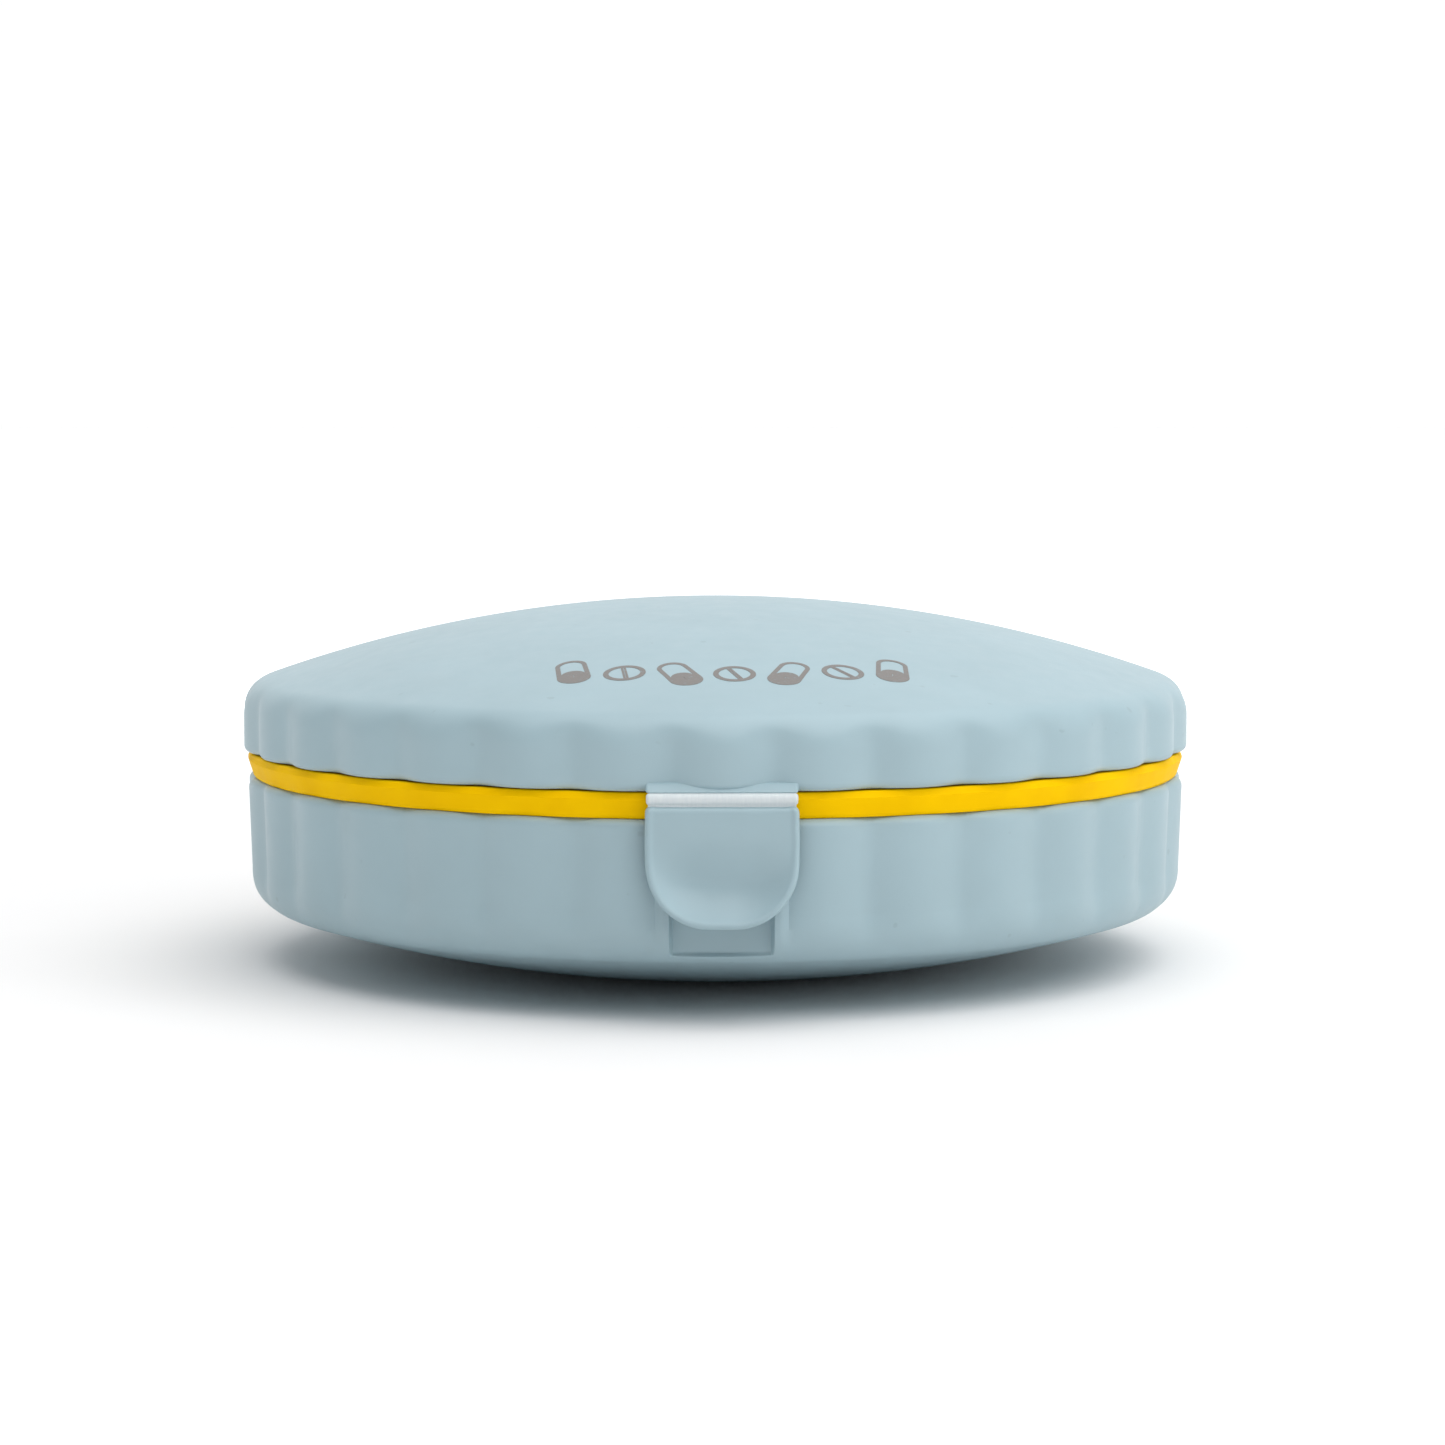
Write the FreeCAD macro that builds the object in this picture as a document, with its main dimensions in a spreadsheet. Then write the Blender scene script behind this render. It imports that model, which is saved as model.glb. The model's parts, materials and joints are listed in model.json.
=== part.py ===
"""Round travel pill organizer: a fluted base and a fluted domed lid, hinged at the rear, with a
seal ring between them, a seven-compartment tray inside and a flip-down latch at the front.

Millimetres, +Z up. The origin is the centre of the flat foot that the organizer rests on.
The latch faces -Y and the hinge is at +Y.
"""
import FreeCAD, Part
import math
import os
import re
import Sketcher

DIMENSIONS = {
    # base
    "base_radius": 46.6,        # over the lobes of the fluted wall
    "base_dome": 145.0,         # sphere that shapes the underside
    "base_shoulder": 4.6,       # rounding between wall and underside
    "foot_radius": 20.0,        # flat area that the organizer rests on
    "rim_height": 18.5,         # seat of the seal ring
    "rim_round": 0.6,
    "collar_outer": 44.6,       # collar that stands up inside the seal ring
    "collar_inner": 43.6,
    "collar_top": 21.8,
    "cavity_round": 3.0,        # between the inside of the wall and the floor
    "wall": 1.6,                # floor of the base and wall of the lid
    # flutes, the same on the base and the lid
    "flute_count": 32.0,
    "flute_depth": 0.7,
    "flute_cutter": 3.0,
    # seal ring
    "seal_inner": 44.65,
    "seal_outer": 46.0,
    "seal_top": 20.9,
    "ridge_depth": 0.5,         # low ridge round the outside of the ring
    "ridge_height": 19.95,
    "ridge_half": 0.7,
    # lid
    "lid_radius": 47.0,
    "lid_edge": 21.0,           # height of the lid's lower edge
    "lid_rise": 14.65,          # from that edge to the top of the dome
    "lid_dome": 134.0,
    "lid_shoulder": 3.5,
    "lid_edge_round": 0.6,
    "lid_ring_inner": 41.0,     # ring inside the lid that holds the liner
    "lid_ring_outer": 42.0,
    "lid_ring_foot": 21.9,
    # liner, the flat inner cover of the lid
    "liner_radius": 42.4,
    "liner_bottom": 20.0,
    "liner_thick": 1.0,
    "liner_ring_inner": 39.9,
    "liner_ring_outer": 40.95,
    "liner_ring_top": 24.0,
    # tray
    "tray_radius": 43.4,
    "tray_gap": 0.05,           # under the tray's floor
    "tray_wall": 1.0,
    "tray_top": 19.6,
    "tray_round": 3.0,          # between the tray's wall and its underside
    "cup_radius": 13.0,         # outside of the round middle compartment
    "rib_count": 6.0,
    # rear hinge
    "pin_depth": 49.3,          # the pin's distance behind the origin
    "pin_height": 19.8,
    "pin_radius": 0.8,
    "pin_bore": 0.85,
    "pin_length": 17.6,
    "knuckle_radius": 1.9,
    "knuckle_root": 44.2,       # where the base's brackets start, inside its wall
    "knuckle_span": 18.0,
    "knuckle_gap": 8.4,         # between the base's two brackets
    "gap_root": 46.7,           # where that gap starts, just outside the base's wall
    "bracket_root_foot": 11.8,  # lowest point of the brackets inside the wall
    "bracket_depth": 46.0,      # where the brackets' sloping underside leaves the wall
    "bracket_foot": 10.3,
    "bracket_angle": 30.0,      # below level, where that underside meets the knuckle
    "lid_knuckle": 8.0,
    "lid_root": 46.0,           # where the lid's knuckle starts, inside its wall
    "lid_knuckle_foot": 21.3,
    "lid_knuckle_top": 25.0,
    "lid_knuckle_angle": 50.0,  # above level, where its sloping top leaves the knuckle
    # latch
    "latch_width": 13.6,
    "fold_depth": 47.25,        # the fold line's distance in front of the origin
    "fold_height": 20.48,
    "fold_radius": 0.52,
    "fold_back": 0.35,          # from the fold line to the back of the hinge strip
    "strip_width": 13.4,
    "tab_slope": 0.9,           # height and depth of the tab's sloping top
    "tab_root": 45.9,
    "flap_gap": 0.08,           # under the hinge strip
    "flap_back": 46.85,
    "flap_front": 47.95,
    "flap_lip": 49.2,           # how far the thumb lip stands out
    "flap_bottom": 9.1,
    "flap_round": 5.7,          # lower corners, seen from the front
    "flap_top_round": 0.3,
    "flap_scoop": 5.6,          # height of the hollow above the thumb lip
    "scoop_back": 4.1,          # the same height at the back of the flap
    "scoop_round": 15.0,
    "lip_thick": 0.7,
    "lip_round": 0.4,
    # catch
    "recess_width": 9.3,
    "recess_depth": 44.6,
    "recess_bottom": 6.3,
    "recess_top": 14.0,
    "catch_bottom": 12.1,
    "catch_top": 12.9,
    "catch_root": 44.2,         # behind the recess's back panel
    "catch_front": 46.3,
    "hook_width": 7.6,
    "hook_root": 48.0,          # inside the flap
    "hook_back": 46.45,
    "hook_bottom": 10.7,
    "hook_top": 11.5,
    "hook_slope": 0.3,          # lead-in under the hook
}

doc = FreeCAD.newDocument("PillOrganizer")
sheet = doc.addObject("Spreadsheet::Sheet", "Sizes")


def fill_sheet():
    """One row for each driving dimension: its name in column A, its value, with an alias, in B."""
    for row, (name, value) in enumerate(DIMENSIONS.items(), start=1):
        sheet.set("A%d" % row, name)
        sheet.set("B%d" % row, str(value))
        sheet.setAlias("B%d" % row, name)
    doc.recompute()


def bound(text):
    """The expression with every dimension's name pointed at the sheet."""
    def point(word):
        name = word.group()
        return "Sizes." + name if name in DIMENSIONS else name
    return re.sub(r"[a-z_]+", point, text)


def number(text):
    """The value that an expression has now."""
    return float(sheet.evalExpression(bound(text)))


# ---------------------------------------------------------------- domes and shoulders

BASE_CENTRE = "sqrt(base_dome^2 - foot_radius^2)"
LID_CENTRE = "(lid_edge + lid_rise - lid_dome)"


def bowl(radius, inset):
    """Height at a radius of the underside's sphere, moved inwards by inset."""
    return "(%s - sqrt((base_dome - %s)^2 - (%s)^2))" % (BASE_CENTRE, inset, radius)


def bowl_edge(inset):
    """Radius where that sphere meets the floor's flat middle, raised by the same inset."""
    return "sqrt((base_dome - %s)^2 - (%s - %s)^2)" % (inset, BASE_CENTRE, inset)


def dome(radius, inset):
    """Height at a radius of the lid's sphere, moved inwards by inset."""
    return "(%s + sqrt((lid_dome - %s)^2 - (%s)^2))" % (LID_CENTRE, inset, radius)


def shoulder(wall_radius, sphere, rounding):
    """Rounding between an upright wall and a sphere centred on the axis: the height of the
    rounding's centre from the sphere's centre, and the touching point's radius and height."""
    rise = "sqrt((%s - %s)^2 - (%s - %s)^2)" % (sphere, rounding, wall_radius, rounding)
    reach = "(%s / (%s - %s))" % (sphere, sphere, rounding)
    radius = "((%s - %s) * %s)" % (wall_radius, rounding, reach)
    return rise, radius, "(%s * %s)" % (rise, reach)


# ---------------------------------------------------------------- sketches and features

def plane(body, role):
    """One of the body's own origin planes or axes."""
    return [item for item in body.Origin.OriginFeatures if item.Role == role][0]


def new_body(name):
    body = doc.addObject("PartDesign::Body", name)
    body.Label = name
    return body


def new_sketch(body, name, role):
    sketch = body.newObject("Sketcher::SketchObject", name)
    sketch.AttachmentSupport = [(plane(body, role), "")]
    sketch.MapMode = "FlatFace"
    return sketch


def arc_between(start, end, radius):
    """The short arc from start to end: anticlockwise for a positive radius, else clockwise."""
    chord = end - start
    side = FreeCAD.Vector(-chord.y, chord.x, 0)
    side.normalize()
    depth = math.sqrt(max(radius * radius - chord.Length ** 2 / 4, 0))
    middle = (start + end) * 0.5
    centre = middle + side * math.copysign(depth, radius)
    first, last = (start, end) if radius > 0 else (end, start)
    angles = [math.atan2(p.y - centre.y, p.x - centre.x) for p in (first, last)]
    if angles[1] < angles[0]:
        angles[1] += 2 * math.pi
    circle = Part.Circle(centre, FreeCAD.Vector(0, 0, 1), abs(radius))
    return Part.ArcOfCircle(circle, angles[0], angles[1])


def hold(sketch, kind, index, end, text):
    """Hold one coordinate of an edge's end at an expression's value."""
    place = sketch.addConstraint(Sketcher.Constraint(kind, -1, 1, index, end, number(text)))
    sketch.setExpression("Constraints[%d]" % place, bound(text))


def outline(sketch, corners):
    """A closed outline. A corner is (across, up), or (across, up, radius) where a short arc
    arrives at it, anticlockwise for a radius without a minus sign and clockwise with one."""
    points = [FreeCAD.Vector(number(c[0]), number(c[1]), 0) for c in corners]
    first_edge = sketch.GeometryCount
    ends = []
    for i, corner in enumerate(corners):
        start, end = points[i - 1], points[i]
        if len(corner) == 3:
            radius = number(corner[2])
            index = sketch.addGeometry(arc_between(start, end, radius))
            ends.append((1, 2) if radius > 0 else (2, 1))
            size = corner[2].lstrip("-")
            place = sketch.addConstraint(Sketcher.Constraint("Radius", index, abs(radius)))
            sketch.setExpression("Constraints[%d]" % place, bound(size))
        else:
            sketch.addGeometry(Part.LineSegment(start, end))
            ends.append((1, 2))
    for i, corner in enumerate(corners):
        edge = first_edge + i
        following = (i + 1) % len(corners)
        sketch.addConstraint(Sketcher.Constraint(
            "Coincident", edge, ends[i][1], first_edge + following, ends[following][0]))
        hold(sketch, "DistanceX", edge, ends[i][1], corner[0])
        hold(sketch, "DistanceY", edge, ends[i][1], corner[1])


def disc(sketch, across, up, radius):
    """A full circle."""
    centre = FreeCAD.Vector(number(across), number(up), 0)
    index = sketch.addGeometry(Part.Circle(centre, FreeCAD.Vector(0, 0, 1), number(radius)))
    hold(sketch, "DistanceX", index, 3, across)
    hold(sketch, "DistanceY", index, 3, up)
    place = sketch.addConstraint(Sketcher.Constraint("Radius", index, number(radius)))
    sketch.setExpression("Constraints[%d]" % place, bound(radius))


def turn(body, name, corners):
    """A solid of revolution about Z, from an outline in the XZ plane."""
    sketch = new_sketch(body, name + "_outline", "XZ_Plane")
    outline(sketch, corners)
    solid = body.newObject("PartDesign::Revolution", name)
    solid.Profile = sketch
    solid.ReferenceAxis = (sketch, ["V_Axis"])
    solid.Angle = 360
    doc.recompute()
    return solid


def pad(body, name, role, corners, length):
    """A prism, half its length to each side of the plane."""
    sketch = new_sketch(body, name + "_outline", role)
    outline(sketch, corners)
    solid = body.newObject("PartDesign::Pad", name)
    solid.Profile = sketch
    solid.SideType = "Symmetric"
    solid.setExpression("Length", bound(length))
    doc.recompute()
    return solid


def pocket(body, name, role, draw, length):
    """A cut, half its length to each side of the plane, checked to take material away."""
    before = body.Shape.Volume
    sketch = new_sketch(body, name + "_outline", role)
    draw(sketch)
    cut = body.newObject("PartDesign::Pocket", name)
    cut.Profile = sketch
    cut.SideType = "Symmetric"
    cut.setExpression("Length", bound(length))
    doc.recompute()
    if not cut.Shape.Volume < before - 1e-6:
        raise RuntimeError("%s cuts nothing" % name)
    return cut


def around(body, feature, count):
    """Copies of a feature, evenly spaced about Z."""
    pattern = body.newObject("PartDesign::PolarPattern", feature.Name + "_pattern")
    pattern.Originals = [feature]
    pattern.Axis = (plane(body, "Z_Axis"), [""])
    pattern.Angle = 360
    pattern.setExpression("Occurrences", bound(count))
    body.Tip = pattern
    doc.recompute()
    return pattern


def flutes(body, name, radius):
    """Shallow upright valleys round a wall. A lobe, not a valley, faces the front."""
    reach = "(%s + flute_cutter - flute_depth)" % radius
    half_pitch = "(180 / flute_count)"

    def draw(sketch):
        disc(sketch, "%s * sin(%s)" % (reach, half_pitch), "0 - %s * cos(%s)" % (reach, half_pitch),
             "flute_cutter")
    valley = pocket(body, name, "XY_Plane", draw, "4 * lid_edge")
    around(body, valley, "flute_count")


# ---------------------------------------------------------------- the sub-parts

def base_shell():
    """Cup with a domed underside, a flat foot, a seal seat and collar, a latch recess with its
    catch at the front, and two hinge brackets at the rear."""
    body = new_body("base_shell")
    sphere = "base_dome"
    rise, touch_radius, touch_rise = shoulder("base_radius", sphere, "base_shoulder")
    inner_sphere = "(base_dome - wall)"
    inner_rise, inner_radius, inner_touch = shoulder("collar_inner", inner_sphere, "cavity_round")
    turn(body, "base_cup", [
        ("0", "0"),
        ("foot_radius", "0"),
        (touch_radius, "%s - %s" % (BASE_CENTRE, touch_rise), sphere),
        ("base_radius", "%s - %s" % (BASE_CENTRE, rise), "base_shoulder"),
        ("base_radius", "rim_height - rim_round"),
        ("base_radius - rim_round", "rim_height", "rim_round"),
        ("collar_outer", "rim_height"),
        ("collar_outer", "collar_top"),
        ("collar_inner", "collar_top"),
        ("collar_inner", "%s - %s" % (BASE_CENTRE, inner_rise)),
        (inner_radius, "%s - %s" % (BASE_CENTRE, inner_touch), "-cavity_round"),
        (bowl_edge("wall"), "wall", "-" + inner_sphere),
        ("0", "wall"),
    ])
    flutes(body, "base_flute", "base_radius")
    latch_recess(body)
    pad(body, "catch_rib", "YZ_Plane", [
        ("-catch_root", "catch_bottom"),
        ("-catch_root", "catch_top"),
        ("-catch_front", "catch_top"),
        ("-catch_front", "catch_bottom"),
    ], "recess_width")
    pad(body, "hinge_brackets", "YZ_Plane", [
        ("knuckle_root", "rim_height"),
        ("knuckle_root", "bracket_root_foot"),
        ("bracket_depth", "bracket_foot"),
        ("pin_depth + knuckle_radius * cos(bracket_angle)",
         "pin_height - knuckle_radius * sin(bracket_angle)"),
        ("pin_depth", "pin_height + knuckle_radius", "knuckle_radius"),
        ("pin_depth - sqrt(knuckle_radius^2 - (pin_height - rim_height)^2)", "rim_height",
         "knuckle_radius"),
    ], "knuckle_span")

    def gap(sketch):
        outline(sketch, [
            ("gap_root", "0"),
            ("pin_depth + 2 * knuckle_radius", "0"),
            ("pin_depth + 2 * knuckle_radius", "pin_height + 2 * knuckle_radius"),
            ("gap_root", "pin_height + 2 * knuckle_radius"),
        ])
    pocket(body, "knuckle_gap_cut", "YZ_Plane", gap, "knuckle_gap")
    pocket(body, "pin_bore_cut", "YZ_Plane",
           lambda sketch: disc(sketch, "pin_depth", "pin_height", "pin_bore"), "2 * knuckle_span")
    return body


def latch_recess(body):
    """Cut in the front of the wall, as deep as the recess's back panel."""
    before = body.Shape.Volume
    sketch = new_sketch(body, "recess_outline", "XZ_Plane")
    sketch.setExpression("AttachmentOffset.Base.z", bound("recess_depth"))
    outline(sketch, [
        ("-recess_width / 2", "recess_bottom"),
        ("recess_width / 2", "recess_bottom"),
        ("recess_width / 2", "recess_top"),
        ("-recess_width / 2", "recess_top"),
    ])
    cut = body.newObject("PartDesign::Pocket", "recess")
    cut.Profile = sketch
    cut.Reversed = True
    cut.setExpression("Length", bound("flap_lip - recess_depth"))
    doc.recompute()
    if not cut.Shape.Volume < before - 1e-6:
        raise RuntimeError("recess cuts nothing")


def seal_ring():
    """Silicone ring round the collar, with a low ridge round its outside."""
    body = new_body("seal_ring")
    turn(body, "seal_section", [
        ("seal_inner", "rim_height"),
        ("seal_outer", "rim_height"),
        ("seal_outer", "ridge_height - ridge_half"),
        ("seal_outer + ridge_depth", "ridge_height"),
        ("seal_outer", "ridge_height + ridge_half"),
        ("seal_outer", "seal_top"),
        ("seal_inner", "seal_top"),
    ])
    return body


def compartment_tray():
    """Lift-out tray: a round middle cup and six sectors round it, with a dished floor."""
    body = new_body("compartment_tray")
    under = "(wall + tray_gap)"
    upper = "(wall + tray_gap + tray_wall)"
    outer_sphere = "(base_dome - %s)" % under
    outer_rise, outer_radius, outer_touch = shoulder("tray_radius", outer_sphere, "tray_round")
    inner_wall = "(tray_radius - tray_wall)"
    inner_sphere = "(base_dome - %s)" % upper
    inner_round = "(tray_round - tray_wall)"
    inner_rise, inner_radius, inner_touch = shoulder(inner_wall, inner_sphere, inner_round)
    cup_inner = "(cup_radius - tray_wall)"
    turn(body, "tray_cup", [
        ("0", under),
        (bowl_edge(under), under),
        (outer_radius, "%s - %s" % (BASE_CENTRE, outer_touch), outer_sphere),
        ("tray_radius", "%s - %s" % (BASE_CENTRE, outer_rise), "tray_round"),
        ("tray_radius", "tray_top"),
        (inner_wall, "tray_top"),
        (inner_wall, "%s - %s" % (BASE_CENTRE, inner_rise)),
        (inner_radius, "%s - %s" % (BASE_CENTRE, inner_touch), "-" + inner_round),
        (bowl_edge(upper), upper, "-" + inner_sphere),
        ("cup_radius", upper),
        ("cup_radius", "tray_top"),
        (cup_inner, "tray_top"),
        (cup_inner, upper),
        ("0", upper),
    ])
    middle = "(wall + tray_gap + tray_wall / 2)"
    outer = "(tray_radius - tray_wall / 2)"
    rib_foot = "(tray_radius - tray_round)"
    rib = pad(body, "tray_rib", "XZ_Plane", [
        ("(cup_radius - tray_wall / 2)", middle),
        (bowl_edge(middle), middle),
        (rib_foot, bowl(rib_foot, middle), "(base_dome - %s)" % middle),
        (outer, "%s + %s" % (bowl(rib_foot, middle), inner_round)),
        (outer, "tray_top"),
        ("(cup_radius - tray_wall / 2)", "tray_top"),
    ], "tray_wall")
    around(body, rib, "rib_count")
    return body


def hinge_pin():
    """Straight steel pin of the rear hinge."""
    body = new_body("hinge_pin")
    sketch = new_sketch(body, "pin_section", "YZ_Plane")
    disc(sketch, "pin_depth", "pin_height", "pin_radius")
    pin = body.newObject("PartDesign::Pad", "pin")
    pin.Profile = sketch
    pin.SideType = "Symmetric"
    pin.setExpression("Length", bound("pin_length"))
    doc.recompute()
    return body


def lid_shell():
    """Domed fluted cover with a ring inside for the liner, a latch tab and a hinge knuckle."""
    body = new_body("lid_shell")
    rise, touch_radius, touch_rise = shoulder("lid_radius", "lid_dome", "lid_shoulder")
    inner_dome = "(lid_dome - wall)"
    inner_wall = "(lid_radius - wall)"
    inner_round = "(lid_shoulder - wall)"
    inner_rise, inner_radius, inner_touch = shoulder(inner_wall, inner_dome, inner_round)
    turn(body, "lid_dome_solid", [
        ("0", dome("0", "wall")),
        ("lid_ring_inner", dome("lid_ring_inner", "wall"), "-" + inner_dome),
        ("lid_ring_inner", "lid_ring_foot"),
        ("lid_ring_outer", "lid_ring_foot"),
        ("lid_ring_outer", dome("lid_ring_outer", "wall")),
        (inner_radius, "%s + %s" % (LID_CENTRE, inner_touch), "-" + inner_dome),
        (inner_wall, "%s + %s" % (LID_CENTRE, inner_rise), "-" + inner_round),
        (inner_wall, "lid_edge"),
        ("lid_radius - lid_edge_round", "lid_edge"),
        ("lid_radius", "lid_edge + lid_edge_round", "lid_edge_round"),
        ("lid_radius", "%s + %s" % (LID_CENTRE, rise)),
        (touch_radius, "%s + %s" % (LID_CENTRE, touch_rise), "lid_shoulder"),
        ("0", "lid_edge + lid_rise", "lid_dome"),
    ])
    flutes(body, "lid_flute", "lid_radius")
    pad(body, "latch_tab", "YZ_Plane", [
        ("-tab_root", "fold_height + fold_radius"),
        ("-tab_root", "fold_height + fold_radius + tab_slope"),
        ("-fold_depth + tab_slope", "fold_height + fold_radius + tab_slope"),
        ("-fold_depth", "fold_height + fold_radius"),
    ], "latch_width")
    pad(body, "lid_knuckle_solid", "YZ_Plane", [
        ("lid_root", "lid_knuckle_foot"),
        ("pin_depth - sqrt(knuckle_radius^2 - (lid_knuckle_foot - pin_height)^2)",
         "lid_knuckle_foot"),
        ("pin_depth", "pin_height - knuckle_radius", "knuckle_radius"),
        ("pin_depth + knuckle_radius * cos(lid_knuckle_angle)",
         "pin_height + knuckle_radius * sin(lid_knuckle_angle)", "knuckle_radius"),
        ("lid_root", "lid_knuckle_top"),
    ], "lid_knuckle")
    pocket(body, "lid_bore_cut", "YZ_Plane",
           lambda sketch: disc(sketch, "pin_depth", "pin_height", "pin_bore"), "2 * lid_knuckle")
    return body


def lid_liner():
    """Flat inner cover that closes the compartments, pressed into the lid's ring."""
    body = new_body("lid_liner")
    turn(body, "liner_section", [
        ("0", "liner_bottom"),
        ("liner_radius", "liner_bottom"),
        ("liner_radius", "liner_bottom + liner_thick"),
        ("liner_ring_outer", "liner_bottom + liner_thick"),
        ("liner_ring_outer", "liner_ring_top"),
        ("liner_ring_inner", "liner_ring_top"),
        ("liner_ring_inner", "liner_bottom + liner_thick"),
        ("0", "liner_bottom + liner_thick"),
    ])
    return body


def latch_hinge_strip():
    """White strip under the lid's tab, rounded in front, that the flap folds about."""
    body = new_body("latch_hinge_strip")
    pad(body, "strip", "YZ_Plane", [
        ("-fold_depth + fold_back", "fold_height - fold_radius"),
        ("-fold_depth + fold_back", "fold_height + fold_radius"),
        ("-fold_depth", "fold_height + fold_radius"),
        ("-fold_depth - fold_radius", "fold_height", "fold_radius"),
        ("-fold_depth", "fold_height - fold_radius", "fold_radius"),
    ], "strip_width")
    return body


def latch_flap():
    """Flap with rounded lower corners, a thumb lip at its foot and a hook on its back."""
    body = new_body("latch_flap")
    top = "fold_height - fold_radius - flap_gap"
    pad(body, "flap_plate", "YZ_Plane", [
        ("-flap_back", top),
        ("-flap_front + flap_top_round", top),
        ("-flap_front", "%s - flap_top_round" % top, "flap_top_round"),
        ("-flap_front", "flap_bottom + flap_scoop"),
        ("-flap_lip", "flap_bottom + lip_round", "-scoop_round"),
        ("-flap_lip + lip_round", "flap_bottom", "lip_round"),
        ("-flap_lip + lip_thick", "flap_bottom"),
        ("-flap_back", "flap_bottom + scoop_back", "scoop_round"),
    ], "latch_width")
    for side, name in (("", "right"), ("-", "left")):
        def corner(sketch, side=side):
            outline(sketch, [
                (side + "latch_width / 2", "flap_bottom + flap_round", side + "flap_round"),
                (side + "latch_width", "flap_bottom + flap_round"),
                (side + "latch_width", "flap_bottom - flap_round"),
                (side + "(latch_width / 2 - flap_round)", "flap_bottom - flap_round"),
                (side + "(latch_width / 2 - flap_round)", "flap_bottom"),
            ])
        pocket(body, "corner_" + name, "XZ_Plane", corner, "4 * flap_lip")
    pad(body, "hook", "YZ_Plane", [
        ("-hook_back", "hook_bottom + hook_slope"),
        ("-hook_back", "hook_top"),
        ("-hook_root", "hook_top"),
        ("-hook_root", "hook_bottom"),
    ], "hook_width")
    return body


# ---------------------------------------------------------------- build and write

def check(objects):
    """Stop if any object of the document failed or any sub-part is not one good solid."""
    for item in doc.Objects:
        if "Invalid" in item.State or "Error" in item.State:
            raise RuntimeError("%s failed: %s" % (item.Name, item.State))
    for item in objects:
        shape = item.Shape
        if shape.isNull() or not shape.isValid() or len(shape.Solids) != 1:
            raise RuntimeError("%s is not one valid solid" % item.Label)
        print("%-20s %9.1f mm3  %s" % (item.Label, shape.Volume, shape.BoundBox))


fill_sheet()
sub_parts = [
    base_shell(),
    seal_ring(),
    compartment_tray(),
    hinge_pin(),
    lid_shell(),
    lid_liner(),
    latch_hinge_strip(),
    latch_flap(),
]
doc.recompute()
check(sub_parts)
os.makedirs("parts", exist_ok=True)
for sub_part in sub_parts:
    sub_part.Shape.exportStep("parts/%s.step" % sub_part.Label)
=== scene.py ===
import json
import math

import bmesh
import bpy
import numpy as np
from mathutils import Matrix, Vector


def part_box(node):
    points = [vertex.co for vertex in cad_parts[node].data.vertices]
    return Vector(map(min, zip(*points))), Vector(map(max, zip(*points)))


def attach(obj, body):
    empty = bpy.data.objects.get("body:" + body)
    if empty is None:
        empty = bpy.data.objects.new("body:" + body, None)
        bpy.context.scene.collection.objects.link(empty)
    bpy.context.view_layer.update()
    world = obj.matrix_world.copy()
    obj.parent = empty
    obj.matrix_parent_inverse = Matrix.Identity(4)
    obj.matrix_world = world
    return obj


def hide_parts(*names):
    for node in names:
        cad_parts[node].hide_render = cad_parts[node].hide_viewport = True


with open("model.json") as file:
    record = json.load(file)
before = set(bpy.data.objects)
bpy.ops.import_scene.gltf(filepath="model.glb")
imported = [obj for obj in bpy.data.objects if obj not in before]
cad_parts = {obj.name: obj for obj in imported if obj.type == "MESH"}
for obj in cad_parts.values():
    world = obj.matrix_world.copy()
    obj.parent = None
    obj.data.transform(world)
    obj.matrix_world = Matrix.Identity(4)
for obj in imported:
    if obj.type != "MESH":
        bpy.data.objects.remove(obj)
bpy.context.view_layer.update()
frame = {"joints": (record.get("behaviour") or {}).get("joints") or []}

# Round travel pill organizer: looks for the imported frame. Its pieces are in millimetres until a mesh is
# made, with the frame's origin and axes: +Z up, the latch at -Y, the hinge at +Y. The floor, the lights
# and the camera are in metres.
MM = 0.001
TAU = 2 * math.pi


def corners_mm(node):
    """A CAD node's lowest and highest corners, in millimetres."""
    low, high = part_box(node)
    return np.array(low) / MM, np.array(high) / MM


def pivot_mm(name):
    """A joint's place, in millimetres."""
    found = [joint for joint in frame["joints"] if joint["name"] == name]
    return np.array(found[0]["pos_m"]) / MM


BASE_HIGH = corners_mm("base_shell")[1]
LID_HIGH = corners_mm("lid_shell")[1]
SEAL_LOW, SEAL_HIGH = corners_mm("seal_ring")
TRAY_HIGH = corners_mm("compartment_tray")[1]
LINER_LOW, LINER_HIGH = corners_mm("lid_liner")
FLAP_LOW, FLAP_HIGH = corners_mm("latch_flap")
STRIP_LOW, STRIP_HIGH = corners_mm("latch_hinge_strip")
PIN_LOW, PIN_HIGH = corners_mm("hinge_pin")
PIN = pivot_mm("lid_hinge")
FOLD = pivot_mm("latch_hinge")

LOBES = 32
FLUTE_DEPTH = 0.8
FLUTE_SOFTNESS = 0.22        # 0 would make each valley a sharp crease
WALL = 1.6

FOLD_DEPTH = -FOLD[1]
FOLD_RADIUS = (STRIP_HIGH[2] - STRIP_LOW[2]) / 2
LATCH_WIDTH = FLAP_HIGH[0] - FLAP_LOW[0]

PIN_BORE = 0.86
KNUCKLE_RADIUS = 1.9
LID_KNUCKLE_HALF = 4.0
BRACKET_WIDTH = 4.8
BRACKET_STARTS = (-9.0, 4.2)

LID_RADIUS = 47.0
LID_TOP = LID_HIGH[2]
LID_EDGE = SEAL_HIGH[2] + 0.1
LID_DOME = 134.0
LID_SHOULDER = 3.5
LID_ROUND = 0.75
LID_DOME_STEPS, LID_SHOULDER_STEPS, LID_WALL_STEPS, LID_EDGE_STEPS = 46, 14, 6, 7
LID_OUTSIDE_ROWS = LID_DOME_STEPS + LID_SHOULDER_STEPS + LID_WALL_STEPS + LID_EDGE_STEPS + 1

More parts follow.
